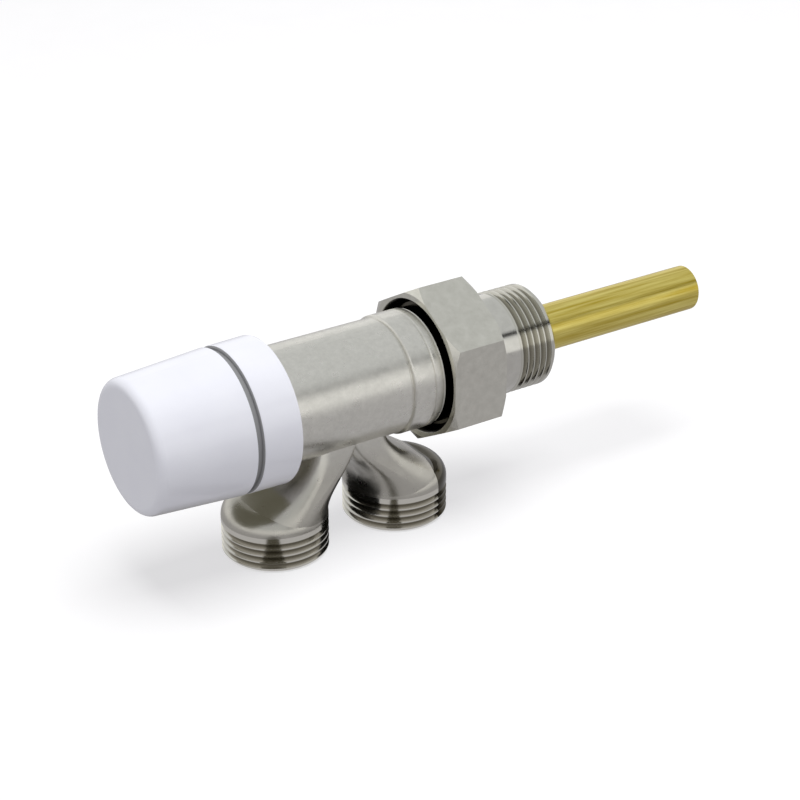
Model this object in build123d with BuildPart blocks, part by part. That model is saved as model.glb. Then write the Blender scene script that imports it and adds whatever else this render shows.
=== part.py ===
"""Two-pipe radiator lockshield valve with a probe tube, modelled in millimetres.

The valve stands on the ends of its two pipe ports. The origin is midway between the ports on their end
plane, +X runs along the barrel towards the probe and +Z is up. Turned pieces are drawn as half profiles
of (x, radius) points on the barrel axis.
"""
from build123d import *

import os
from math import cos, radians, tan

# Layout
AXIS_Z = 38.2  # height of the barrel axis over the port ends
PORT_PITCH = 35.0  # centre to centre of the two pipe ports
PORT_X = PORT_PITCH / 2

# G 3/4 and G 1 pipe threads: crest radius, pitch and thread depth
G34_R, G34_PITCH, G34_DEPTH = 13.22, 1.814, 1.162
G1_R, G1_PITCH, G1_DEPTH = 16.62, 2.309, 1.479

# Fits, all radial or axial gaps in millimetres
RUN_FIT = 0.10  # a shaft that turns or slides in its bore
PUSH_FIT = 0.10  # the pull-off cap over its spigot
THREAD_FIT = 0.28  # the plain bore that stands for an internal thread
SCREWED_FIT = 0.05  # a piece screwed home in its bore

# Plug: holder, washer, screw and wire clip
HUB_R, HUB_FRONT, HUB_REAR = 4.8, -16.0, -9.0
CUP_R, CUP_REAR, CUP_FLOOR = 7.2, -4.0, -6.0
WASHER_R, WASHER_FACE = CUP_R - 0.8, -3.6
SCREW_R, SCREW_HEAD_R, SCREW_END = 1.5, 2.9, -9.7
CLIP_X, CLIP_Y, CLIP_WIRE_R = -13.6, 2.8, 0.5
CLIP_GROOVE_R = CLIP_Y - CLIP_WIRE_R - RUN_FIT

# Flow divider and probe tube
PROBE_R, PROBE_BORE_R = 6.0, 5.2
PROBE_END = 111.0
SEAT_X, SEAT_R, SEAT_END = WASHER_FACE + 0.08, PROBE_BORE_R - 0.5, 0.0
SOCKET_R, SOCKET_END, SOCKET_FLOOR = PROBE_R + 1.6, 13.0, 4.2
DIVIDER_FLANGE_X1, DIVIDER_FLANGE_R = 3.5, SOCKET_R + 1.0

# Body barrel, stations along X
BODY_FRONT = -29.0
RING_SEAT_X = -19.4
CHAMBER_R = CUP_R + 3.0
BONNET_BORE_R, BONNET_BORE_END = CHAMBER_R + 0.8, -16.0
NOSE_R = BONNET_BORE_R + 3.0
BARREL_R = NOSE_R + 0.6
COLLAR_X0, COLLAR_X1, COLLAR_R = 14.2, 22.4, BARREL_R + 0.5
LINE_X, LINE_CUT = 20.1, 0.35
NECK_R = COLLAR_R - 0.2
G1_START, BODY_REAR = 26.6, 31.0
WEB_X0, WEB_X1, WEB_BORE_R = -2.0, 1.5, 7.5
REAR_CHAMBER_R = DIVIDER_FLANGE_R + 1.6
SNAP_X0, SNAP_X1, SNAP_DEPTH = -25.6, -23.8, 1.0

# Body ports and arms
PORT_TOP, PORT_ROUND = 13.8, 4.4
PORT_THREAD_TOP = PORT_TOP - PORT_ROUND
PILOT_R, PILOT_DEPTH, CONE_ANGLE = 8.8, 3.0, 15.0
PORT_BORE_R, PORT_BORE_TOP = 7.5, 12.5
ARM_FOOT_R = G34_R - 0.1
ARM_SECTIONS = (  # height, centre x, width, thickness and corner radius, foot first
    (PORT_THREAD_TOP, PORT_X, 2 * ARM_FOOT_R, 2 * ARM_FOOT_R, ARM_FOOT_R - 0.01),
    (PORT_TOP + 1.0, PORT_X - 3.4, 19.0, 24.2, 8.6),
    (20.5, PORT_X - 9.2, 13.6, 21.4, 5.0),
    (AXIS_Z - 8.2, PORT_X - 14.5, 12.4, 19.0, 3.4),
)
PASSAGE_R = 3.4
PASSAGE_TOP, PASSAGE_FOOT = (5.6, AXIS_Z - 9.6), (PORT_X - 4.5, 12.0)

# Cap and base ring
CAP_FRONT, CAP_REAR = -55.9, -31.5
SPIGOT_R, SPIGOT_FRONT = NOSE_R + 2.3, -36.6
CAP_FRONT_R, CAP_REAR_R = SPIGOT_R + 0.2, SPIGOT_R + 1.8
CAP_WALL, CAP_ROUND = 1.7, 2.2
RING_FRONT, BAND_X, BAND_R = -29.9, -31.4, SPIGOT_R + 0.9
RING_FRONT_R, RING_REAR_R = CAP_REAR_R + 0.05, CAP_REAR_R + 0.25

# Bonnet, gland nut and spindle
STEM_R, STEM_BORE_END = 4.0, -30.5
GLAND_R, GLAND_X1 = STEM_R + 2.5, -38.5
BONNET_NOSE_X, BONNET_NOSE_R = -42.5, GLAND_R + 1.5
BONNET_HEX_AF, BONNET_HEX_X0 = 2 * BONNET_BORE_R, -34.0
BONNET_REAR = -20.3
SPINDLE_FRONT, SPINDLE_TIP = -44.0, -11.0
SPINDLE_THREAD = (-25.5, -19.5, STEM_R + 1.5, 1.0)  # start, end, radius and pitch
SPINDLE_KEY_AF, SPINDLE_KEY_DEPTH = STEM_R + 1.0, 7.0
TIP_R = 3.0
STEM_SEALS = ((-34.2, -32.8), (-32.3, -30.9))
STEM_SEAL_FLOOR = STEM_R - 1.1

# Tailpiece, gasket, slip ring and union nut
GASKET_X1, GASKET_R = 33.0, 15.8
TAIL_COLLAR_X1 = 35.3
TAIL_NECK_R, TAIL_BORE_R = 13.0, 9.6
TAIL_THREAD_X, TAIL_END = 47.0, 58.0
SLIP_X0, SLIP_X1 = 35.4, 36.1
NUT_X0, NUT_X1, NUT_SHOULDER = 23.5, 38.8, 36.2
NUT_AF, NUT_FACE_R = 36.0, 18.7
GUIDE_X0, GUIDE_X1, GUIDE_HUB_R = 50.0, 55.0, PROBE_R + 1.3

BARREL = Plane(origin=(0, 0, AXIS_Z), x_dir=(1, 0, 0), z_dir=(0, -1, 0))
BARREL_AXIS = Axis((0, 0, AXIS_Z), (1, 0, 0))


def across(x):
    """Plane square to the barrel axis at x, its own x to +Y and its y up."""
    return Plane(origin=(x, 0, AXIS_Z), x_dir=(0, 1, 0), z_dir=(1, 0, 0))


def turned(points):
    """Solid of revolution of a closed (x, radius) half profile about the barrel axis."""
    with BuildPart() as shape:
        with BuildSketch(BARREL):
            with BuildLine():
                Polyline(*points, close=True)
            make_face()
        revolve(axis=BARREL_AXIS)
    return shape.part


def tube(x0, x1, inner_r, outer_r):
    """Plain ring or tube on the barrel axis."""
    return turned([(x0, inner_r), (x0, outer_r), (x1, outer_r), (x1, inner_r)])


def seal(x0, x1, inner_r, outer_r):
    """O-ring as it sits squeezed in its groove: flat inside and outside, rounded at both flanks."""
    nip = (outer_r - inner_r) * 0.3
    return turned(
        [
            (x0, inner_r + nip),
            (x0, outer_r - nip),
            (x0 + nip, outer_r),
            (x1 - nip, outer_r),
            (x1, outer_r - nip),
            (x1, inner_r + nip),
            (x1 - nip, inner_r),
            (x0 + nip, inner_r),
        ]
    )


def thread(start, end, crest_r, pitch, depth):
    """Outline points of a thread from start to end: one V groove per pitch between flat crests."""
    count = int((end - start) / pitch)
    points = []
    for turn in range(count):
        s = start + turn * pitch
        points.append((s + 0.12 * pitch, crest_r))
        points.append((s + 0.46 * pitch, crest_r - depth))
        points.append((s + 0.60 * pitch, crest_r - depth))
        points.append((s + 0.94 * pitch, crest_r))
    return points


def hexagon(x0, x1, across_flats, turn=30):
    """Hexagonal bar along the barrel axis, a corner straight up at a turn of 30 degrees."""
    with BuildPart() as bar:
        with BuildSketch(across(x0)):
            RegularPolygon(radius=across_flats / 2, side_count=6, major_radius=False, rotation=turn)
        extrude(amount=x1 - x0)
    return bar.part


def port_blank(x):
    """Threaded pipe port with a rounded shoulder, standing on the end plane at x."""
    outline = [(x + r, z) for z, r in thread(0.9, PORT_THREAD_TOP, G34_R, G34_PITCH, G34_DEPTH)]
    round_z, round_r = PORT_TOP - PORT_ROUND, G34_R - PORT_ROUND
    bulge = PORT_ROUND * cos(radians(45))
    with BuildPart() as port:
        with BuildSketch(Plane.XZ):
            with BuildLine():
                Polyline((x, PORT_TOP), (x, 0), (x + G34_R - 0.9, 0), (x + G34_R, 0.9), *outline,
                         (x + G34_R, round_z))
                ThreePointArc(
                    (x + G34_R, round_z),
                    (x + round_r + bulge, round_z + bulge),
                    (x + round_r, PORT_TOP),
                )
                Line((x + round_r, PORT_TOP), (x, PORT_TOP))
            make_face()
        revolve(axis=Axis((x, 0, 0), (0, 0, 1)))
    return port.part


def port_bore(x):
    """Pilot, conical pipe seat and bore, opening downwards at x."""
    cone_top = PILOT_DEPTH + (PILOT_R - PORT_BORE_R) / tan(radians(CONE_ANGLE))
    with BuildPart() as bore:
        with BuildSketch(Plane.XZ):
            with BuildLine():
                Polyline(
                    (x, -1),
                    (x + PILOT_R, -1),
                    (x + PILOT_R, PILOT_DEPTH),
                    (x + PORT_BORE_R, cone_top),
                    (x + PORT_BORE_R, PORT_BORE_TOP),
                    (x, PORT_BORE_TOP + 2),
                    close=True,
                )
            make_face()
        revolve(axis=Axis((x, 0, 0), (0, 0, 1)))
    return bore.part


def arm(side):
    """One leg of the fork from the barrel down to a port, flaring towards its foot."""
    with BuildPart() as leg:
        for z, x, width, thick, corner in ARM_SECTIONS:
            with BuildSketch(Plane.XY.offset(z)):
                with Locations((side * x, 0)):
                    RectangleRounded(width, thick, corner)
        loft()
    return leg.part


def passage(side):
    """Drilled waterway from a port up into the barrel."""
    (x0, z0), (x1, z1) = PASSAGE_FOOT, PASSAGE_TOP
    foot = Vector(side * x0, 0, z0)
    rise = Vector(side * (x1 - x0), 0, z1 - z0)
    with BuildPart() as hole:
        with BuildSketch(Plane(origin=foot, z_dir=rise)):
            Circle(PASSAGE_R)
        extrude(amount=rise.length)
    return hole.part


# body
barrel_outline = [
    (BODY_FRONT, 0),
    (BODY_FRONT, NOSE_R - 0.6),
    (BODY_FRONT + 0.6, NOSE_R),
    (SNAP_X0, NOSE_R),
    (SNAP_X0, NOSE_R - SNAP_DEPTH),
    (SNAP_X1, NOSE_R - SNAP_DEPTH),
    (SNAP_X1, NOSE_R),
    (RING_SEAT_X, NOSE_R),
    (RING_SEAT_X, BARREL_R),
    (COLLAR_X0 - 0.9, BARREL_R),
    (COLLAR_X0 - 0.6, BARREL_R - 0.3),
    (COLLAR_X0 - 0.3, BARREL_R - 0.3),
    (COLLAR_X0, COLLAR_R - 0.2),
    (COLLAR_X0 + 0.2, COLLAR_R),
    (LINE_X - LINE_CUT, COLLAR_R),
    (LINE_X, COLLAR_R - LINE_CUT),
    (LINE_X + LINE_CUT, COLLAR_R),
    (COLLAR_X1 - 0.3, COLLAR_R),
    (COLLAR_X1, COLLAR_R - 0.5),
    (COLLAR_X1 + 0.3, NECK_R),
    (G1_START, NECK_R),
    (G1_START, G1_R - 0.9),
    (G1_START + 0.9, G1_R),
    *thread(G1_START + 0.9, BODY_REAR - 0.5, G1_R, G1_PITCH, G1_DEPTH),
    (BODY_REAR, G1_R - 0.9),
    (BODY_REAR, 0),
]
waterway = [
    (BODY_FRONT - 1, 0),
    (BODY_FRONT - 1, BONNET_BORE_R),
    (BONNET_BORE_END, BONNET_BORE_R),
    (BONNET_BORE_END, CHAMBER_R),
    (WEB_X0, CHAMBER_R),
    (WEB_X0, WEB_BORE_R),
    (WEB_X1, WEB_BORE_R),
    (WEB_X1, REAR_CHAMBER_R),
    (BODY_REAR + 1, REAR_CHAMBER_R),
    (BODY_REAR + 1, 0),
]
with BuildPart() as body:
    for side in (-1, 1):
        add(port_blank(side * PORT_X))
        add(arm(side))
    add(turned(barrel_outline))
    add(turned(waterway), mode=Mode.SUBTRACT)
    for side in (-1, 1):
        add(port_bore(side * PORT_X), mode=Mode.SUBTRACT)
        add(passage(side), mode=Mode.SUBTRACT)

# cap: a tapered cup with a rounded front rim and a straight mouth for the spigot
cap_slope = (CAP_REAR_R - CAP_FRONT_R) / (CAP_REAR - CAP_FRONT)
mouth_r = SPIGOT_R + PUSH_FIT
mouth_x = SPIGOT_FRONT - 0.6
cap_outline = [
    (CAP_FRONT, 0),
    (CAP_FRONT, CAP_FRONT_R),
    (CAP_REAR, CAP_REAR_R),
    (CAP_REAR, mouth_r),
    (mouth_x, mouth_r),
    (mouth_x, CAP_FRONT_R + cap_slope * (mouth_x - CAP_FRONT) - CAP_WALL),
    (CAP_FRONT + CAP_WALL, CAP_FRONT_R - CAP_WALL),
    (CAP_FRONT + CAP_WALL, 0),
]
with BuildPart() as cap:
    add(turned(cap_outline))
    fillet(cap.faces().sort_by(Axis.X)[0].edges(), CAP_ROUND)
    fillet(cap.edges().filter_by(GeomType.CIRCLE).sort_by(Axis.X)[-1], 0.35)

# base ring: the fixed collar behind the cap, snapped over the body's nose
ring_outline = [
    (SPIGOT_FRONT, NOSE_R + SCREWED_FIT),
    (SPIGOT_FRONT, SPIGOT_R - 0.5),
    (SPIGOT_FRONT + 0.5, SPIGOT_R),
    (BAND_X, SPIGOT_R),
    (BAND_X, BAND_R),
    (RING_FRONT, BAND_R),
    (RING_FRONT, RING_FRONT_R - 0.5),
    (RING_FRONT + 0.2, RING_FRONT_R - 0.15),
    (RING_FRONT + 0.6, RING_FRONT_R),
    (RING_SEAT_X - 0.6, RING_REAR_R),
    (RING_SEAT_X - 0.2, RING_REAR_R - 0.15),
    (RING_SEAT_X, RING_REAR_R - 0.5),
    (RING_SEAT_X, NOSE_R + SCREWED_FIT),
    (SNAP_X1 - 0.2, NOSE_R + SCREWED_FIT),
    (SNAP_X1 - 0.3, NOSE_R - SNAP_DEPTH + SCREWED_FIT),
    (SNAP_X0 + 0.3, NOSE_R - SNAP_DEPTH + SCREWED_FIT),
    (SNAP_X0 + 0.2, NOSE_R + SCREWED_FIT),
]
with BuildPart() as base_ring:
    add(turned(ring_outline))

# bonnet: screwed into the barrel's front bore, sealed under its hexagon
bonnet_seal = (BODY_FRONT + 0.8, BODY_FRONT + 2.6)
shank_r = BONNET_BORE_R - SCREWED_FIT
stem_bore_r = STEM_R + RUN_FIT
thread_bore_r = SPINDLE_THREAD[2] + RUN_FIT
bonnet_outline = [
    (BONNET_NOSE_X, GLAND_R),
    (BONNET_NOSE_X, BONNET_NOSE_R - 0.5),
    (BONNET_NOSE_X + 0.5, BONNET_NOSE_R),
    (BODY_FRONT, BONNET_NOSE_R),
    (BODY_FRONT, shank_r),
    (bonnet_seal[0], shank_r),
    (bonnet_seal[0], shank_r - 1.4),
    (bonnet_seal[1], shank_r - 1.4),
    (bonnet_seal[1], shank_r),
    *thread(bonnet_seal[1] + 0.4, BONNET_REAR - 0.4, shank_r, 1.0, 0.6),
    (BONNET_REAR - 0.4, shank_r),
    (BONNET_REAR, shank_r - 0.4),
    (BONNET_REAR, thread_bore_r),
    (STEM_BORE_END, thread_bore_r),
    (STEM_BORE_END, stem_bore_r),
    (GLAND_X1, stem_bore_r),
    (GLAND_X1, GLAND_R),
]
with BuildPart() as bonnet:
    add(hexagon(BONNET_HEX_X0, BODY_FRONT, BONNET_HEX_AF))
    add(tube(BONNET_HEX_X0 - 1, BODY_FRONT + 1, 0, BONNET_HEX_AF / 2 + 1.2), mode=Mode.INTERSECT)
    add(tube(BONNET_HEX_X0 - 1, BODY_FRONT + 1, 0, BONNET_NOSE_R - 0.5), mode=Mode.SUBTRACT)
    add(turned(bonnet_outline))

with BuildPart() as bonnet_o_ring:
    add(seal(*bonnet_seal, shank_r - 1.4, BONNET_BORE_R))

# gland nut: the slotted collar that keeps the spindle in the bonnet
with BuildPart() as gland_nut:
    add(tube(BONNET_NOSE_X - 0.8, GLAND_X1, stem_bore_r, GLAND_R))
    chamfer(gland_nut.edges().filter_by(GeomType.CIRCLE).sort_by(Axis.X)[:2], 0.3)
    with BuildSketch(across(BONNET_NOSE_X - 0.8)):
        Rectangle(3 * GLAND_R, 1.6)
    extrude(amount=1.5, mode=Mode.SUBTRACT)

# spindle: hexagon key socket in front, sealed stem, lifting thread and a grooved tip
thread_x0, thread_x1, thread_r, thread_pitch = SPINDLE_THREAD
spindle_outline = [(SPINDLE_FRONT, 0), (SPINDLE_FRONT, STEM_R - 0.4), (SPINDLE_FRONT + 0.4, STEM_R)]
for seal_x0, seal_x1 in STEM_SEALS:
    spindle_outline.append((seal_x0, STEM_R))
    spindle_outline.append((seal_x0, STEM_SEAL_FLOOR))
    spindle_outline.append((seal_x1, STEM_SEAL_FLOOR))
    spindle_outline.append((seal_x1, STEM_R))
spindle_outline += [
    (thread_x0, STEM_R),
    (thread_x0, thread_r - 0.4),
    (thread_x0 + 0.4, thread_r),
    *thread(thread_x0 + 0.4, thread_x1, thread_r, thread_pitch, 0.6),
    (thread_x1, thread_r),
    (thread_x1, TIP_R),
    (CLIP_X - CLIP_WIRE_R - RUN_FIT, TIP_R),
    (CLIP_X - CLIP_WIRE_R - RUN_FIT, CLIP_GROOVE_R),
    (CLIP_X + CLIP_WIRE_R + RUN_FIT, CLIP_GROOVE_R),
    (CLIP_X + CLIP_WIRE_R + RUN_FIT, TIP_R),
    (SPINDLE_TIP - 0.4, TIP_R),
    (SPINDLE_TIP, TIP_R - 0.4),
    (SPINDLE_TIP, 0),
]
with BuildPart() as spindle:
    add(turned(spindle_outline))
    add(
        hexagon(SPINDLE_FRONT, SPINDLE_FRONT + SPINDLE_KEY_DEPTH, SPINDLE_KEY_AF),
        mode=Mode.SUBTRACT,
    )

with BuildPart() as spindle_o_rings:
    for seal_x0, seal_x1 in STEM_SEALS:
        add(seal(seal_x0, seal_x1, STEM_SEAL_FLOOR, STEM_R + RUN_FIT / 3))

# disc holder: cup for the washer, hub over the spindle tip, cross holes for the clip
tip_bore_r = TIP_R + RUN_FIT
with BuildPart() as disc_holder:
    add(
        turned(
            [
                (HUB_FRONT, tip_bore_r),
                (HUB_FRONT, HUB_R - 0.4),
                (HUB_FRONT + 0.4, HUB_R),
                (HUB_REAR, HUB_R),
                (HUB_REAR, CUP_R - 0.4),
                (HUB_REAR + 0.4, CUP_R),
                (CUP_REAR, CUP_R),
                (CUP_REAR, WASHER_R),
                (CUP_FLOOR, WASHER_R),
                (CUP_FLOOR, SCREW_R),
                (SCREW_END, SCREW_R),
                (SCREW_END, 0),
                (SPINDLE_TIP + 0.2, 0),
                (SPINDLE_TIP + 0.2, tip_bore_r),
            ]
        )
    )
    with BuildSketch(Plane.XY.offset(AXIS_Z - HUB_R - 1)):
        with Locations((CLIP_X, -CLIP_Y), (CLIP_X, CLIP_Y)):
            Circle(CLIP_WIRE_R)
    extrude(amount=2 * HUB_R + 2, mode=Mode.SUBTRACT)

with BuildPart() as seat_washer:
    add(tube(CUP_FLOOR, WASHER_FACE, SCREW_R, WASHER_R))

with BuildPart() as washer_screw:
    add(
        turned(
            [
                (SCREW_END, 0),
                (SCREW_END, SCREW_R),
                (WASHER_FACE, SCREW_R),
                (WASHER_FACE, SCREW_HEAD_R),
                (WASHER_FACE + 1.1, SCREW_HEAD_R),
                (WASHER_FACE + 1.6, SCREW_HEAD_R - 0.9),
                (WASHER_FACE + 1.6, 0),
            ]
        )
    )
    add(hexagon(WASHER_FACE + 0.4, WASHER_FACE + 1.6, 2.0), mode=Mode.SUBTRACT)

# holder clip: a wire U pushed through the hub, its legs in the spindle's groove
clip_reach = HUB_R + 0.4
clip_top = HUB_R + CLIP_WIRE_R + 0.4
with BuildPart() as holder_clip:
    with BuildLine(across(CLIP_X)) as clip_path:
        FilletPolyline(
            (-CLIP_Y, -clip_reach),
            (-CLIP_Y, clip_top),
            (CLIP_Y, clip_top),
            (CLIP_Y, -clip_reach),
            radius=1.0,
        )
    with BuildSketch(Plane(origin=(CLIP_X, -CLIP_Y, AXIS_Z - clip_reach), z_dir=(0, 0, 1))):
        Circle(CLIP_WIRE_R)
    sweep(path=clip_path.line)

# flow divider: valve seat in front, stem through the web, socket for the probe tube
divider_seal = (WEB_X0 + 0.8, WEB_X1 - 0.7)
stem_r = WEB_BORE_R - SCREWED_FIT
probe_seal = (7.0, 9.0)
socket_bore_r = PROBE_R + RUN_FIT
with BuildPart() as flow_divider:
    add(
        turned(
            [
                (SEAT_X, SEAT_R),
                (SEAT_X, SEAT_R + 0.8),
                (WEB_X0 - 0.6, stem_r - 0.7),
                (WEB_X0 - 0.6, stem_r),
                (divider_seal[0], stem_r),
                (divider_seal[0], stem_r - 1.2),
                (divider_seal[1], stem_r - 1.2),
                (divider_seal[1], stem_r),
                (WEB_X1, stem_r),
                (WEB_X1, DIVIDER_FLANGE_R),
                (DIVIDER_FLANGE_X1, DIVIDER_FLANGE_R),
                (DIVIDER_FLANGE_X1, SOCKET_R),
                (SOCKET_END - 0.5, SOCKET_R),
                (SOCKET_END, SOCKET_R - 0.5),
                (SOCKET_END, socket_bore_r),
                (probe_seal[1], socket_bore_r),
                (probe_seal[1], socket_bore_r + 0.8),
                (probe_seal[0], socket_bore_r + 0.8),
                (probe_seal[0], socket_bore_r),
                (SOCKET_FLOOR, socket_bore_r),
                (SOCKET_FLOOR, PROBE_BORE_R),
                (SEAT_END, PROBE_BORE_R),
                (SEAT_END, SEAT_R),
            ]
        )
    )

with BuildPart() as divider_o_ring:
    add(seal(*divider_seal, stem_r - 1.2, WEB_BORE_R))

with BuildPart() as probe_o_ring:
    add(seal(*probe_seal, PROBE_R, socket_bore_r + 0.8))

with BuildPart() as probe_tube:
    add(tube(SOCKET_FLOOR, PROBE_END, PROBE_BORE_R, PROBE_R))
    chamfer(probe_tube.edges().filter_by(GeomType.CIRCLE).sort_by(Axis.X)[-2:], 0.15)

# probe guide: a hub with three fins that centres the probe tube in the tail
with BuildPart() as probe_guide:
    with BuildSketch(across(GUIDE_X0)):
        with PolarLocations(GUIDE_HUB_R + 0.4, 3, start_angle=90):
            Rectangle(4.0, 2.2)
        Circle(TAIL_BORE_R, mode=Mode.INTERSECT)
        Circle(GUIDE_HUB_R)
        Circle(PROBE_R, mode=Mode.SUBTRACT)
    extrude(amount=GUIDE_X1 - GUIDE_X0)

# tail: gasket, threaded tailpiece, slip ring and the hexagon nut that clamps them to the body
with BuildPart() as tail_gasket:
    add(tube(BODY_REAR, GASKET_X1, REAR_CHAMBER_R + 1.2, GASKET_R))

with BuildPart() as tailpiece:
    add(
        turned(
            [
                (GASKET_X1, TAIL_BORE_R),
                (GASKET_X1, GASKET_R - 0.3),
                (GASKET_X1 + 0.3, GASKET_R),
                (TAIL_COLLAR_X1, GASKET_R),
                (TAIL_COLLAR_X1, TAIL_NECK_R),
                (TAIL_THREAD_X, TAIL_NECK_R),
                (TAIL_THREAD_X + 0.3, G34_R),
                *thread(TAIL_THREAD_X + 0.3, TAIL_END - 0.9, G34_R, G34_PITCH, G34_DEPTH),
                (TAIL_END - 0.9, G34_R),
                (TAIL_END, G34_R - 0.9),
                (TAIL_END, TAIL_BORE_R + 0.4),
                (TAIL_END - 0.4, TAIL_BORE_R),
            ]
        )
    )

nut_rear_r = G34_R + THREAD_FIT
nut_bore_r = G1_R + THREAD_FIT
with BuildPart() as slip_ring:
    add(tube(SLIP_X0, SLIP_X1, nut_rear_r, nut_bore_r - 0.3))

bevel = (NUT_AF / cos(radians(30)) / 2 + 0.5 - NUT_FACE_R) * tan(radians(30))
with BuildPart() as union_nut:
    add(hexagon(NUT_X0, NUT_X1, NUT_AF))
    add(
        turned(
            [
                (NUT_X0, 0),
                (NUT_X0, NUT_FACE_R),
                (NUT_X0 + bevel, NUT_AF / cos(radians(30)) / 2 + 0.5),
                (NUT_X1 - bevel, NUT_AF / cos(radians(30)) / 2 + 0.5),
                (NUT_X1, NUT_FACE_R),
                (NUT_X1, 0),
            ]
        ),
        mode=Mode.INTERSECT,
    )
    add(
        turned(
            [
                (NUT_X0 - 1, 0),
                (NUT_X0 - 1, nut_bore_r + 0.4),
                (NUT_X0, nut_bore_r + 0.4),
                (NUT_X0 + 0.4, nut_bore_r),
                (NUT_SHOULDER, nut_bore_r),
                (NUT_SHOULDER, nut_rear_r),
                (NUT_X1 + 1, nut_rear_r),
                (NUT_X1 + 1, 0),
            ]
        ),
        mode=Mode.SUBTRACT,
    )

pieces = {
    "body": body,
    "cap": cap,
    "base_ring": base_ring,
    "bonnet": bonnet,
    "bonnet_o_ring": bonnet_o_ring,
    "gland_nut": gland_nut,
    "spindle": spindle,
    "spindle_o_rings": spindle_o_rings,
    "disc_holder": disc_holder,
    "seat_washer": seat_washer,
    "washer_screw": washer_screw,
    "holder_clip": holder_clip,
    "flow_divider": flow_divider,
    "divider_o_ring": divider_o_ring,
    "probe_o_ring": probe_o_ring,
    "probe_tube": probe_tube,
    "probe_guide": probe_guide,
    "tail_gasket": tail_gasket,
    "tailpiece": tailpiece,
    "slip_ring": slip_ring,
    "union_nut": union_nut,
}
os.makedirs("parts", exist_ok=True)
for label, piece in pieces.items():
    piece.part.label = label
    export_step(piece.part, f"parts/{label}.step")
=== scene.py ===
import math

import bpy
import numpy as np
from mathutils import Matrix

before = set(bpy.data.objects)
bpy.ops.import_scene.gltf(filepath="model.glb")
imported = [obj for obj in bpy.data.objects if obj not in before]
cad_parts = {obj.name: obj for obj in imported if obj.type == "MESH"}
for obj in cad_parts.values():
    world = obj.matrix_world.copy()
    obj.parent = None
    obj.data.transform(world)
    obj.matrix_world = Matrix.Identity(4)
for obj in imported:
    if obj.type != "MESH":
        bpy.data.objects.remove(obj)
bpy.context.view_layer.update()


# --- Valve body ---------------------------------------------------------------------------------
# A hot brass forging: one barrel with a fork of two arms down to the pipe ports. It is shot blasted
# and nickel plated, and its threads, end faces and the collar behind the nut are then turned bright.

def linear(hex_colour):
    """Linear RGBA of an sRGB hex colour: each channel above 0.04045 is ((c + 0.055) / 1.055) ** 2.4."""
    c = np.array([int(hex_colour[i:i + 2], 16) for i in (0, 2, 4)]) / 255.0
    low, high = c / 12.92, ((c + 0.055) / 1.055) ** 2.4
    return (*np.where(c <= 0.04045, low, high).tolist(), 1.0)


def add(tree, kind, sockets=None, **settings):
    """Adds one node, applies its settings, and fills each socket with a value or a link."""
    made = tree.nodes.new(kind)
    for key, value in settings.items():
        setattr(made, key, value)
    for key, value in (sockets or {}).items():
        if isinstance(value, bpy.types.NodeSocket):
            tree.links.new(value, made.inputs[key])
        else:
            made.inputs[key].default_value = value
    return made


def new_finish(name):
    """An empty material with its Principled shader, and the tree and object coordinates to build on."""
    made = bpy.data.materials.new(name)
    made.use_nodes = True
    tree = made.node_tree
    skin = next(n for n in tree.nodes if n.type == "BSDF_PRINCIPLED")
    place = add(tree, "ShaderNodeTexCoord").outputs["Object"]
    return made, tree, skin, place


def coat(node_name, made):
    """Puts a material in every slot of a CAD node."""
    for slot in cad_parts[node_name].material_slots:
        slot.material = made


mm = 0.001
barrel_axis = 38.2 * mm
port_offset = 17.5 * mm
port_thread_top = 9.4 * mm
casting_end = 22.8 * mm
port_root, port_crest = 12.3 * mm, 13.1 * mm
grit_size, lump_size, spot_size = 0.55 * mm, 3.2 * mm, 1.4 * mm

# Nickel plate over shot-blasted brass: a warm grey metal with a fine satin grain and softly mottled gloss.
blasted, t, skin, place = new_finish("nickel_plate_on_shot_blasted_brass")
skin.inputs["Metallic"].default_value = 1.0
grit = add(t, "ShaderNodeTexNoise", {
    "Vector": place, "Scale": 1 / grit_size, "Detail": 3.0, "Roughness": 0.6,
})
lumps = add(t, "ShaderNodeTexNoise", {"Vector": place, "Scale": 1 / lump_size, "Detail": 2.0})
spots = add(t, "ShaderNodeTexNoise", {
    "Vector": place, "Scale": 1 / spot_size, "Detail": 4.0, "Roughness": 0.7,
})
axes = add(t, "ShaderNodeSeparateXYZ", {"Vector": place})
# machined zones: the port threads at the foot, and the neck and union thread past the casting's rear end.
# The second is also painted near black, as painted shade inside the nut's mouth; it goes by x alone, so it
# also takes in the tail side of the rear port and makes that too dark
low = add(t, "ShaderNodeMath", {0: axes.outputs["Z"], 1: port_thread_top}, operation="LESS_THAN")
rear_turned_and_painted_shade = add(t, "ShaderNodeMath", {0: axes.outputs["X"], 1: casting_end}, operation="GREATER_THAN")
turned_zone = add(t, "ShaderNodeMath", {0: low.outputs[0], 1: rear_turned_and_painted_shade.outputs[0]}, operation="MAXIMUM")
tint = add(t, "ShaderNodeValToRGB", {"Fac": spots.outputs["Fac"]})
tint.color_ramp.elements[0].position, tint.color_ramp.elements[1].position = 0.32, 0.72
tint.color_ramp.elements[0].color, tint.color_ramp.elements[1].color = linear("D8D6CE"), linear("E6E4DC")
# painted shade in the fork: the plate is painted greyer from 30 mm height down to 20 mm
fork_shade_ramp = add(t, "ShaderNodeMapRange", {
    "Value": axes.outputs["Z"], "From Min": 20 * mm, "From Max": 30 * mm,
})
fork_painted_shade = add(t, "ShaderNodeMix", {
    "Factor": fork_shade_ramp.outputs["Result"], "A": linear("BFBCB3"), "B": tint.outputs["Color"],
}, data_type="RGBA")
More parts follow.
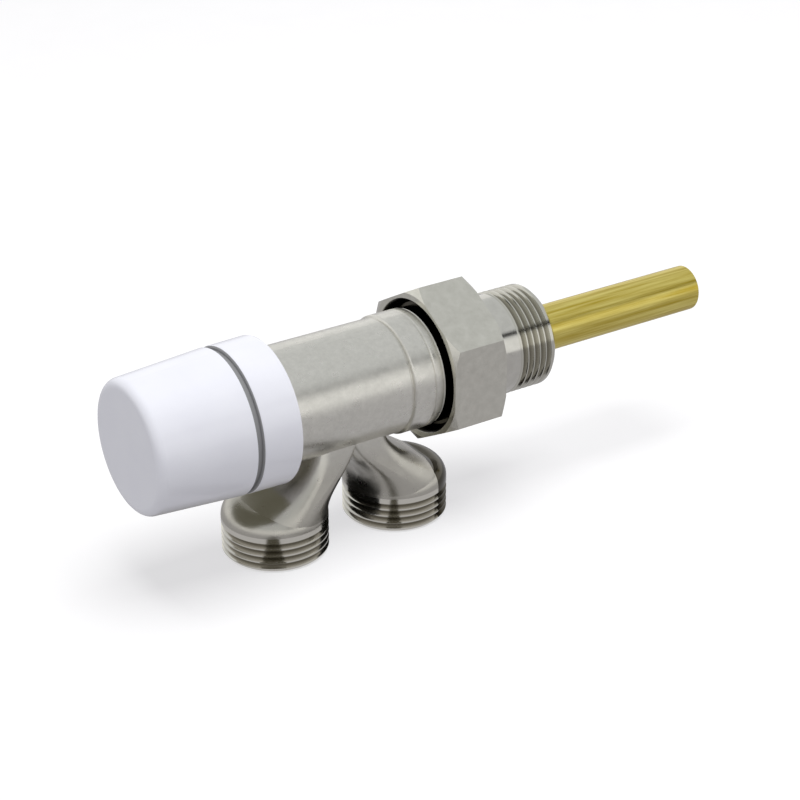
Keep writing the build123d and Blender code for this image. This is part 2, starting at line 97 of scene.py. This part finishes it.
# painted shade in the thread roots: the cut metal is painted darker at a thread's root than at its crest,
# by the distance from the port's own axis
port_x = add(t, "ShaderNodeMath", {0: axes.outputs["X"]}, operation="ABSOLUTE")
from_port = add(t, "ShaderNodeMath", {0: port_x.outputs[0], 1: port_offset}, operation="SUBTRACT")
flat = add(t, "ShaderNodeCombineXYZ", {"X": from_port.outputs[0], "Y": axes.outputs["Y"]})
port_radius = add(t, "ShaderNodeVectorMath", {0: flat.outputs["Vector"]}, operation="LENGTH")
root_shade_ramp = add(t, "ShaderNodeMapRange", {
    "Value": port_radius.outputs["Value"], "From Min": port_root, "From Max": port_crest,
})
thread_root_painted_shade = add(t, "ShaderNodeMix", {
    "Factor": root_shade_ramp.outputs["Result"], "A": linear("ADA99D"), "B": linear("E6E3D9"),
}, data_type="RGBA")
# past the casting's rear end the colour is a near-black painted shade for the nut's mouth
turned_with_painted_shade = add(t, "ShaderNodeMix", {
    "Factor": rear_turned_and_painted_shade.outputs[0], "A": thread_root_painted_shade.outputs["Result"], "B": linear("4E4A40"),
}, data_type="RGBA")
plate = add(t, "ShaderNodeMix", {
    "Factor": turned_zone.outputs[0], "A": fork_painted_shade.outputs["Result"], "B": turned_with_painted_shade.outputs["Result"],
}, data_type="RGBA")
t.links.new(plate.outputs["Result"], skin.inputs["Base Color"])
gloss = add(t, "ShaderNodeMapRange", {
    "Value": lumps.outputs["Fac"], "From Min": 0.3, "From Max": 0.7, "To Min": 0.26, "To Max": 0.36,
})
gloss_all = add(t, "ShaderNodeMix", {
    "Factor": turned_zone.outputs[0], "A": gloss.outputs["Result"], "B": 0.17,
}, data_type="FLOAT")
t.links.new(gloss_all.outputs["Result"], skin.inputs["Roughness"])
height = add(t, "ShaderNodeMath", {
    0: lumps.outputs["Fac"], 1: 2.0, 2: grit.outputs["Fac"],
}, operation="MULTIPLY_ADD")
relief_share = add(t, "ShaderNodeMapRange", {
    "Value": turned_zone.outputs[0], "To Min": 0.32, "To Max": 0.05,
})
relief = add(t, "ShaderNodeBump", {
    "Height": height.outputs[0], "Strength": relief_share.outputs["Result"], "Distance": 0.06 * mm,
})
t.links.new(relief.outputs["Normal"], skin.inputs["Normal"])
coat("body", blasted)


# --- Shield cap ---------------------------------------------------------------------------------
# The pull-off cap over the spindle: one injection moulding in white ABS, a smooth tapered cup with a
# rounded front rim, polished in the mould.

white_abs, t, skin, place = new_finish("white_abs_moulded_gloss")
haze = add(t, "ShaderNodeTexNoise", {"Vector": place, "Scale": 1 / (9 * mm), "Detail": 3.0})
tint = add(t, "ShaderNodeValToRGB", {"Fac": haze.outputs["Fac"]})
tint.color_ramp.elements[0].color, tint.color_ramp.elements[1].color = linear("DEDEE6"), linear("E6E6EC")
t.links.new(tint.outputs["Color"], skin.inputs["Base Color"])
gloss = add(t, "ShaderNodeMapRange", {"Value": haze.outputs["Fac"], "To Min": 0.18, "To Max": 0.26})
t.links.new(gloss.outputs["Result"], skin.inputs["Roughness"])
flow = add(t, "ShaderNodeTexNoise", {"Vector": place, "Scale": 1 / (2.2 * mm), "Detail": 2.0})
relief = add(t, "ShaderNodeBump", {"Height": flow.outputs["Fac"], "Strength": 0.12, "Distance": 0.02 * mm})
t.links.new(relief.outputs["Normal"], skin.inputs["Normal"])
coat("cap", white_abs)


# --- Base ring ----------------------------------------------------------------------------------
# The white collar snapped over the barrel's nose. Its outside matches the cap; the spigot that the
# cap pushes on to stays as moulded and duller, and is painted grey as painted shade in the gap under the
# cap's rim.

spigot_end = -29.6 * mm
ring_abs, t, skin, place = new_finish("white_abs_ring_with_painted_shade_on_spigot")
haze = add(t, "ShaderNodeTexNoise", {"Vector": place, "Scale": 1 / (9 * mm), "Detail": 3.0})
axes = add(t, "ShaderNodeSeparateXYZ", {"Vector": place})
spigot_painted_shade_and_dull = add(t, "ShaderNodeMath", {0: axes.outputs["X"], 1: spigot_end}, operation="LESS_THAN")
tint = add(t, "ShaderNodeValToRGB", {"Fac": haze.outputs["Fac"]})
tint.color_ramp.elements[0].color, tint.color_ramp.elements[1].color = linear("DEDEE6"), linear("E6E6EC")
# the spigot is painted grey: painted shade in the gap under the cap's rim
both = add(t, "ShaderNodeMix", {
    "Factor": spigot_painted_shade_and_dull.outputs[0], "A": tint.outputs["Color"], "B": linear("8A8A8B"),
}, data_type="RGBA")
t.links.new(both.outputs["Result"], skin.inputs["Base Color"])
gloss = add(t, "ShaderNodeMapRange", {"Value": spigot_painted_shade_and_dull.outputs[0], "To Min": 0.2, "To Max": 0.5})
t.links.new(gloss.outputs["Result"], skin.inputs["Roughness"])
flow = add(t, "ShaderNodeTexNoise", {"Vector": place, "Scale": 1 / (2.2 * mm), "Detail": 2.0})
relief = add(t, "ShaderNodeBump", {"Height": flow.outputs["Fac"], "Strength": 0.12, "Distance": 0.02 * mm})
t.links.new(relief.outputs["Normal"], skin.inputs["Normal"])
coat("base_ring", ring_abs)


# --- Brass turnings -----------------------------------------------------------------------------
# Bonnet, gland nut, spindle, disc holder, flow divider and slip ring: free-cutting brass bar, turned
# and left bare, with fine rings round the barrel's axis where the tool fed along.

def turned_brass(name, pale, deep, feed=0.18 * mm):
    """Bare brass with tool rings: a sine of x and of the radius from the barrel axis, one wave per feed."""
    made, tree, skin, place = new_finish(name)
    skin.inputs["Metallic"].default_value = 1.0
    at_axis = add(tree, "ShaderNodeMapping", {"Vector": place, "Location": (0, 0, -barrel_axis)})
    parts = add(tree, "ShaderNodeSeparateXYZ", {"Vector": at_axis.outputs["Vector"]})
    across = add(tree, "ShaderNodeCombineXYZ", {"Y": parts.outputs["Y"], "Z": parts.outputs["Z"]})
    radius = add(tree, "ShaderNodeVectorMath", {0: across.outputs["Vector"]}, operation="LENGTH")
    along = add(tree, "ShaderNodeMath", {0: parts.outputs["X"], 1: radius.outputs["Value"]}, operation="ADD")
    turns = add(tree, "ShaderNodeMath", {0: along.outputs[0], 1: 2 * math.pi / feed}, operation="MULTIPLY")
    wave = add(tree, "ShaderNodeMath", {0: turns.outputs[0]}, operation="SINE")
    stain = add(tree, "ShaderNodeTexNoise", {"Vector": place, "Scale": 1 / (4 * mm), "Detail": 4.0})
    tint = add(tree, "ShaderNodeValToRGB", {"Fac": stain.outputs["Fac"]})
    tint.color_ramp.elements[0].color, tint.color_ramp.elements[1].color = linear(deep), linear(pale)
    tree.links.new(tint.outputs["Color"], skin.inputs["Base Color"])
    gloss = add(tree, "ShaderNodeMapRange", {"Value": stain.outputs["Fac"], "To Min": 0.2, "To Max": 0.32})
    tree.links.new(gloss.outputs["Result"], skin.inputs["Roughness"])
    relief = add(tree, "ShaderNodeBump", {"Height": wave.outputs[0], "Strength": 0.25, "Distance": 0.01 * mm})
    tree.links.new(relief.outputs["Normal"], skin.inputs["Normal"])
    return made


for piece, pale, deep in (
    ("bonnet", "D8B86A", "B08F45"),
    ("gland_nut", "DCBE72", "B4934A"),
    ("spindle", "DEC27A", "B8984E"),
    ("disc_holder", "D4B264", "AA8840"),
    ("flow_divider", "D6B668", "AE8C43"),
    ("slip_ring", "DCC078", "B69650"),
):
    coat(piece, turned_brass("turned_brass_" + piece, pale, deep))


# --- Seals and gasket ---------------------------------------------------------------------------
# EPDM O-rings and the valve disc, moulded black rubber with a dull skin, and a pressed fibre gasket.

def black_rubber(name, tone):
    """Moulded rubber: a near-black skin with a fine mottle of dust and a soft sheen."""
    made, tree, skin, place = new_finish(name)
    bloom = add(tree, "ShaderNodeTexNoise", {"Vector": place, "Scale": 1 / (1.1 * mm), "Detail": 5.0})
    tint = add(tree, "ShaderNodeValToRGB", {"Fac": bloom.outputs["Fac"]})
    tint.color_ramp.elements[0].color, tint.color_ramp.elements[1].color = linear("141414"), linear(tone)
    tree.links.new(tint.outputs["Color"], skin.inputs["Base Color"])
    gloss = add(tree, "ShaderNodeMapRange", {"Value": bloom.outputs["Fac"], "To Min": 0.5, "To Max": 0.7})
    tree.links.new(gloss.outputs["Result"], skin.inputs["Roughness"])
    relief = add(tree, "ShaderNodeBump", {
        "Height": bloom.outputs["Fac"], "Strength": 0.3, "Distance": 0.02 * mm,
    })
    tree.links.new(relief.outputs["Normal"], skin.inputs["Normal"])
    return made


for piece, tone in (
    ("bonnet_o_ring", "2C2C2C"),
    ("spindle_o_rings", "2A2A2B"),
    ("seat_washer", "303030"),
    ("divider_o_ring", "2B2B2C"),
    ("probe_o_ring", "2D2D2D"),
):
    coat(piece, black_rubber("epdm_rubber_" + piece, tone))

fibre, t, skin, place = new_finish("pressed_fibre_gasket")
strands = add(t, "ShaderNodeTexNoise", {
    "Vector": place, "Scale": 1 / (0.6 * mm), "Detail": 6.0, "Roughness": 0.75,
})
tint = add(t, "ShaderNodeValToRGB", {"Fac": strands.outputs["Fac"]})
tint.color_ramp.elements[0].color, tint.color_ramp.elements[1].color = linear("3F5A4C"), linear("7E9786")
t.links.new(tint.outputs["Color"], skin.inputs["Base Color"])
skin.inputs["Roughness"].default_value = 0.8
relief = add(t, "ShaderNodeBump", {"Height": strands.outputs["Fac"], "Strength": 0.4, "Distance": 0.04 * mm})
t.links.new(relief.outputs["Normal"], skin.inputs["Normal"])
coat("tail_gasket", fibre)


# --- Screw and clip -----------------------------------------------------------------------------
# Stainless steel: the washer's socket screw, cold headed, and the holder's clip of drawn spring wire.

def stainless(name, pale, deep, wire):
    """Bright stainless steel with draw lines: noise stretched ten to one along the given direction."""
    made, tree, skin, place = new_finish(name)
    skin.inputs["Metallic"].default_value = 1.0
    drawn = add(tree, "ShaderNodeMapping", {"Vector": place, "Scale": wire})
    lines = add(tree, "ShaderNodeTexNoise", {
        "Vector": drawn.outputs["Vector"], "Scale": 1 / (0.3 * mm), "Detail": 4.0,
    })
    tint = add(tree, "ShaderNodeValToRGB", {"Fac": lines.outputs["Fac"]})
    tint.color_ramp.elements[0].color, tint.color_ramp.elements[1].color = linear(deep), linear(pale)
    tree.links.new(tint.outputs["Color"], skin.inputs["Base Color"])
    gloss = add(tree, "ShaderNodeMapRange", {"Value": lines.outputs["Fac"], "To Min": 0.22, "To Max": 0.36})
    tree.links.new(gloss.outputs["Result"], skin.inputs["Roughness"])
    relief = add(tree, "ShaderNodeBump", {
        "Height": lines.outputs["Fac"], "Strength": 0.2, "Distance": 0.01 * mm,
    })
    tree.links.new(relief.outputs["Normal"], skin.inputs["Normal"])
    return made


coat("washer_screw", stainless("stainless_socket_screw", "C9CBCC", "A6A8AA", (0.1, 1, 1)))
coat("holder_clip", stainless("stainless_spring_wire", "BFC1C3", "9A9C9F", (1, 1, 0.1)))


# --- Probe tube ---------------------------------------------------------------------------------
# A hard-drawn brass tube, 12 mm outside, sawn and deburred. Drawing leaves long straight streaks.

drawn_brass, t, skin, place = new_finish("hard_drawn_brass_tube")
skin.inputs["Metallic"].default_value = 1.0
pulled = add(t, "ShaderNodeMapping", {"Vector": place, "Scale": (0.03, 1, 1)})
streaks = add(t, "ShaderNodeTexNoise", {
    "Vector": pulled.outputs["Vector"], "Scale": 1 / (0.9 * mm), "Detail": 5.0, "Roughness": 0.6,
})
tint = add(t, "ShaderNodeValToRGB", {"Fac": streaks.outputs["Fac"]})
tint.color_ramp.elements[0].position, tint.color_ramp.elements[1].position = 0.3, 0.72
tint.color_ramp.elements[0].color, tint.color_ramp.elements[1].color = linear("BCA22E"), linear("F6E88C")
t.links.new(tint.outputs["Color"], skin.inputs["Base Color"])
gloss = add(t, "ShaderNodeMapRange", {"Value": streaks.outputs["Fac"], "To Min": 0.26, "To Max": 0.42})
t.links.new(gloss.outputs["Result"], skin.inputs["Roughness"])
relief = add(t, "ShaderNodeBump", {"Height": streaks.outputs["Fac"], "Strength": 0.3, "Distance": 0.03 * mm})
t.links.new(relief.outputs["Normal"], skin.inputs["Normal"])
coat("probe_tube", drawn_brass)


# --- Probe guide --------------------------------------------------------------------------------
# A three-finned spacer moulded in grey acetal that centres the tube in the tail.

acetal, t, skin, place = new_finish("grey_acetal_moulding")
cloud = add(t, "ShaderNodeTexNoise", {"Vector": place, "Scale": 1 / (3 * mm), "Detail": 3.0})
tint = add(t, "ShaderNodeValToRGB", {"Fac": cloud.outputs["Fac"]})
tint.color_ramp.elements[0].color, tint.color_ramp.elements[1].color = linear("5A5C60"), linear("6C6E72")
t.links.new(tint.outputs["Color"], skin.inputs["Base Color"])
skin.inputs["Roughness"].default_value = 0.45
relief = add(t, "ShaderNodeBump", {"Height": cloud.outputs["Fac"], "Strength": 0.1, "Distance": 0.02 * mm})
t.links.new(relief.outputs["Normal"], skin.inputs["Normal"])
coat("probe_guide", acetal)


# --- Tailpiece ----------------------------------------------------------------------------------
# Turned from brass bar and nickel plated: a smooth neck and a bright cut thread with mirror-like flanks.

tail_thread_start = 46.9 * mm
tail_root, tail_crest = 12.2 * mm, 13.2 * mm
bright_nickel, t, skin, place = new_finish("bright_nickel_on_turned_brass")
skin.inputs["Metallic"].default_value = 1.0
cloud = add(t, "ShaderNodeTexNoise", {"Vector": place, "Scale": 1 / (2 * mm), "Detail": 4.0})
tint = add(t, "ShaderNodeValToRGB", {"Fac": cloud.outputs["Fac"]})
tint.color_ramp.elements[0].color, tint.color_ramp.elements[1].color = linear("C8C6BE"), linear("DEDCD4")
gloss = add(t, "ShaderNodeMapRange", {"Value": cloud.outputs["Fac"], "To Min": 0.10, "To Max": 0.18})
t.links.new(gloss.outputs["Result"], skin.inputs["Roughness"])
tail_at = add(t, "ShaderNodeMapping", {"Vector": place, "Location": (0, 0, -barrel_axis)})
axes = add(t, "ShaderNodeSeparateXYZ", {"Vector": tail_at.outputs["Vector"]})
tail_flat = add(t, "ShaderNodeCombineXYZ", {"Y": axes.outputs["Y"], "Z": axes.outputs["Z"]})
tail_radius = add(t, "ShaderNodeVectorMath", {0: tail_flat.outputs["Vector"]}, operation="LENGTH")
# painted shade in the thread roots: the cut thread is painted darker at its root than at its crest
root_shade_ramp = add(t, "ShaderNodeMapRange", {
    "Value": tail_radius.outputs["Value"], "From Min": tail_root, "From Max": tail_crest,
})
thread_root_painted_shade = add(t, "ShaderNodeMix", {
    "Factor": root_shade_ramp.outputs["Result"], "A": linear("B2AFA4"), "B": linear("D0CEC4"),
}, data_type="RGBA")
threaded = add(t, "ShaderNodeMath", {0: axes.outputs["X"], 1: tail_thread_start}, operation="GREATER_THAN")
both = add(t, "ShaderNodeMix", {
    "Factor": threaded.outputs[0], "A": tint.outputs["Color"], "B": thread_root_painted_shade.outputs["Result"],
}, data_type="RGBA")
t.links.new(both.outputs["Result"], skin.inputs["Base Color"])
turns = add(t, "ShaderNodeMath", {0: axes.outputs["X"], 1: 2 * math.pi / (0.2 * mm)}, operation="MULTIPLY")
wave = add(t, "ShaderNodeMath", {0: turns.outputs[0]}, operation="SINE")
relief = add(t, "ShaderNodeBump", {"Height": wave.outputs[0], "Strength": 0.15, "Distance": 0.01 * mm})
t.links.new(relief.outputs["Normal"], skin.inputs["Normal"])
coat("tailpiece", bright_nickel)


# --- Union nut ----------------------------------------------------------------------------------
# A forged 36 mm hexagon nut, tumbled smooth, faced at both ends and nickel plated.

bore_wall, bore_edge = 17.1 * mm, 17.3 * mm
nut_nickel, t, skin, place = new_finish("nickel_plate_on_tumbled_nut")
skin.inputs["Metallic"].default_value = 1.0
cloud = add(t, "ShaderNodeTexNoise", {
    "Vector": place, "Scale": 1 / (2.6 * mm), "Detail": 5.0, "Roughness": 0.6,
})
tint = add(t, "ShaderNodeValToRGB", {"Fac": cloud.outputs["Fac"]})
tint.color_ramp.elements[0].position, tint.color_ramp.elements[1].position = 0.3, 0.7
tint.color_ramp.elements[0].color, tint.color_ramp.elements[1].color = linear("D0CEC4"), linear("DEDCD2")
# the tapped bore inside 17.2 mm radius is painted near black: painted shade inside the nut's mouth
bore_at = add(t, "ShaderNodeMapping", {"Vector": place, "Location": (0, 0, -barrel_axis)})
bore_parts = add(t, "ShaderNodeSeparateXYZ", {"Vector": bore_at.outputs["Vector"]})
bore_flat = add(t, "ShaderNodeCombineXYZ", {"Y": bore_parts.outputs["Y"], "Z": bore_parts.outputs["Z"]})
bore_radius = add(t, "ShaderNodeVectorMath", {0: bore_flat.outputs["Vector"]}, operation="LENGTH")
outside_bore_shade = add(t, "ShaderNodeMapRange", {
    "Value": bore_radius.outputs["Value"], "From Min": bore_wall, "From Max": bore_edge,
})
both = add(t, "ShaderNodeMix", {
    "Factor": outside_bore_shade.outputs["Result"], "A": linear("35322B"), "B": tint.outputs["Color"],
}, data_type="RGBA")
t.links.new(both.outputs["Result"], skin.inputs["Base Color"])
gloss = add(t, "ShaderNodeMapRange", {"Value": cloud.outputs["Fac"], "To Min": 0.2, "To Max": 0.3})
t.links.new(gloss.outputs["Result"], skin.inputs["Roughness"])
peen = add(t, "ShaderNodeTexNoise", {"Vector": place, "Scale": 1 / (1.2 * mm), "Detail": 2.0})
relief = add(t, "ShaderNodeBump", {"Height": peen.outputs["Fac"], "Strength": 0.2, "Distance": 0.05 * mm})
t.links.new(relief.outputs["Normal"], skin.inputs["Normal"])
coat("union_nut", nut_nickel)


# --- Floor and studio light ---------------------------------------------------------------------
# The valve stands on its port ends on a seamless white sheet in a tent of white paper: bright round
# the horizon, softer above. Cards that only light and mirror the metal stand round it, out of view.

def card(name, centre, facing, width, height, side=(1.0, 0, 0)):
    """A flat sheet: corners at centre plus or minus half its width and height, across its facing.

    Its width runs level, and along side where it lies flat.
    """
    n = np.array(facing, float) / np.linalg.norm(facing)
    side = np.cross((0, 0, 1), n) if abs(n[2]) < 0.99 else np.array(side, float)
    side = side / np.linalg.norm(side)
    up = np.cross(n, side)
    signs = np.array([(-1, -1), (1, -1), (1, 1), (-1, 1)])
    points = np.array(centre) + signs[:, :1] * side * width / 2 + signs[:, 1:] * up * height / 2
    mesh = bpy.data.meshes.new(name)
    mesh.from_pydata(points.tolist(), [], [(0, 1, 2, 3)])
    made = bpy.data.objects.new(name, mesh)
    bpy.context.scene.collection.objects.link(made)
    return made


def mirror_card(name, centre, facing, width, height, hex_colour, strength, bounce=False, side=(1.0, 0, 0)):
    """A glowing sheet that shows only in reflections, and with bounce also lights what faces it."""
    made = card(name, centre, facing, width, height, side)
    glow = bpy.data.materials.new("paper_" + name)
    glow.use_nodes = True
    glow.node_tree.nodes.clear()
    lamp = add(glow.node_tree, "ShaderNodeEmission", {"Color": linear(hex_colour), "Strength": strength})
    add(glow.node_tree, "ShaderNodeOutputMaterial", {"Surface": lamp.outputs["Emission"]})
    made.data.materials.append(glow)
    made.visible_camera = made.visible_shadow = False
    made.visible_diffuse = bounce
    return made


floor = card("floor", (0, 0, 0), (0, 0, 1), 8, 8)
paper, t, skin, place = new_finish("white_backdrop_paper")
grain = add(t, "ShaderNodeTexNoise", {"Vector": place, "Scale": 60.0, "Detail": 3.0})
tint = add(t, "ShaderNodeValToRGB", {"Fac": grain.outputs["Fac"]})
tint.color_ramp.elements[0].color, tint.color_ramp.elements[1].color = linear("DADADA"), linear("DEDEDE")
t.links.new(tint.outputs["Color"], skin.inputs["Base Color"])
skin.inputs["Roughness"].default_value = 0.9
skin.inputs["Specular IOR Level"].default_value = 0.1
skin.inputs["Emission Color"].default_value = linear("FFFFFF")
skin.inputs["Emission Strength"].default_value = 0.36
floor.data.materials.append(paper)
floor.visible_diffuse = floor.visible_glossy = False

bench = mirror_card("grey_bench", (0, 0, 0.0002), (0, 0, 1), 4, 4, "C4C3C6", 0.85, bounce=True)
# a black strip, 33 degrees up to the front right, draws the dark line along the barrel and the tail
strip = np.array((0.492, -0.678, 0.537))
mirror_card("black_strip", strip * 1.2, -strip, 2.0, 0.14, "0A0A0A", 1.0)

# dark cards deepen what the fork mirrors: a black one between its ports, a dim one under the cap, and a
# dim strip on the bench in front of each port
mirror_card("fork_card", (0, 0, 0.0080), (1, 0, 0), 0.024, 0.015, "0A0A09", 1.0)
mirror_card("under_cap_card", (-0.037, 0, 0.0192), (0, 0, -1), 0.034, 0.022, "6E6C60", 1.0)
front = np.array((-0.552, -0.834, 0))
for port_x, wide in ((-0.0175, 0.010), (0.0175, 0.006)):
    middle = np.array((port_x, 0, 0.0004)) + front * 0.045
    mirror_card(f"port_strip_{port_x:+.4f}", middle, (0, 0, 1), 0.060, wide, "4A473E", 1.0, side=front)

tent = bpy.data.worlds.new("white_tent")
bpy.context.scene.world = tent
tent.use_nodes = True
sky = next(n for n in tent.node_tree.nodes if n.type == "BACKGROUND")
way = add(tent.node_tree, "ShaderNodeTexCoord").outputs["Generated"]
rise = add(tent.node_tree, "ShaderNodeSeparateXYZ", {"Vector": way}).outputs["Z"]
band = add(tent.node_tree, "ShaderNodeValToRGB", {"Fac": rise})
band.color_ramp.interpolation = "EASE"
band.color_ramp.elements[0].position, band.color_ramp.elements[0].color = 0.34, linear("FFFFFF")
band.color_ramp.elements[1].position, band.color_ramp.elements[1].color = 0.5, linear("DADCDE")
tent.node_tree.links.new(band.outputs["Color"], sky.inputs["Color"])
sky.inputs["Strength"].default_value = 0.95

key = bpy.data.objects.new("key_light", bpy.data.lights.new("key_light", "AREA"))
key.data.shape, key.data.size, key.data.size_y = "RECTANGLE", 0.9, 0.9
key.data.energy = 9.0
key.location = (0.1, -0.1, 1.2)
key.visible_glossy = False
bpy.context.scene.collection.objects.link(key)
key.rotation_euler = (-math.atan2(0.1, 1.2), math.atan2(0.1, 1.2), 0)


# --- Camera -------------------------------------------------------------------------------------
# It looks from the cap's side, 33.5 degrees round and 27 degrees above the bench.

azimuth, elevation, distance = math.radians(33.51), math.radians(26.82), 0.521
target = np.array((19.31, 0, 29.84)) * mm
level = math.cos(elevation)
back = np.array((-math.sin(azimuth) * level, -math.cos(azimuth) * level, math.sin(elevation)))
camera = bpy.data.objects.new("camera", bpy.data.cameras.new("camera"))
camera.data.sensor_width = 36.0
camera.data.lens = 2092 / 800 * 36.0
camera.data.clip_start = 0.01
camera.location = (target + back * distance).tolist()
camera.rotation_euler = (math.pi / 2 - elevation, 0, -azimuth)
bpy.context.scene.collection.objects.link(camera)
bpy.context.scene.camera = camera
bpy.context.scene.view_settings.view_transform = "Standard"
